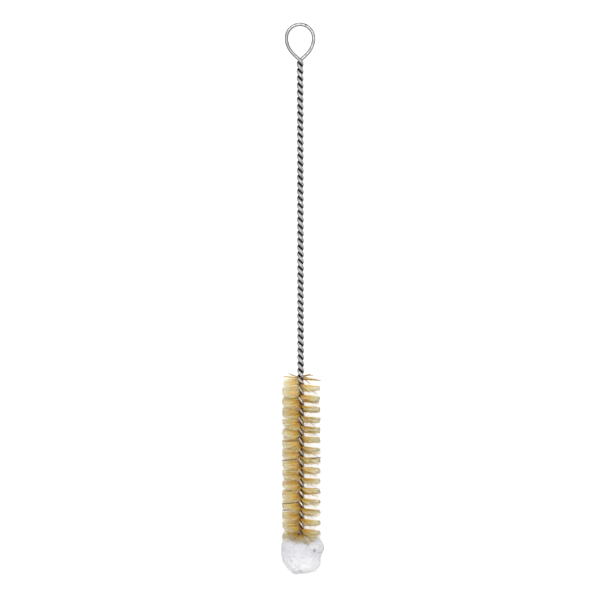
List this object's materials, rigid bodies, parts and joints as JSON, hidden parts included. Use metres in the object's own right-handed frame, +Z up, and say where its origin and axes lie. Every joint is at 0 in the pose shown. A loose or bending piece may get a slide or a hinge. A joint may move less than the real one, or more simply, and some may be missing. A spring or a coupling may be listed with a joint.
{
  "type": "test tube brush",
  "caption": "Twisted-in-wire test tube brush with a hanging eye, natural bristles and a cotton tip, for scrubbing the inside of narrow glass tubes.",
  "frame": {"origin": "middle of the bottom of the bounding box, on the surface the brush lies on", "axes": "+Z up from that surface; +Y along the brush from the cotton tip to the hanging eye; +X across it, in the plane of the eye"},
  "size_m": [0.022, 0.2799, 0.0257],
  "materials": {
    "wire": "galvanised, satin",
    "bristle": "natural hog bristle",
    "cotton": "soft cotton"
  },
  "bodies": {
    "root": {"wire": "wire", "cotton_tip": "cotton", "bristle_tuft_01": "bristle", "bristle_tuft_02": "bristle", "bristle_tuft_03": "bristle", "bristle_tuft_04": "bristle", "bristle_tuft_05": "bristle", "bristle_tuft_06": "bristle", "bristle_tuft_07": "bristle", "bristle_tuft_08": "bristle", "bristle_tuft_09": "bristle", "bristle_tuft_10": "bristle", "bristle_tuft_11": "bristle", "bristle_tuft_12": "bristle", "bristle_tuft_13": "bristle", "bristle_tuft_14": "bristle", "bristle_tuft_15": "bristle", "bristle_tuft_16": "bristle", "bristle_tuft_17": "bristle"}
  },
  "joints": []
}
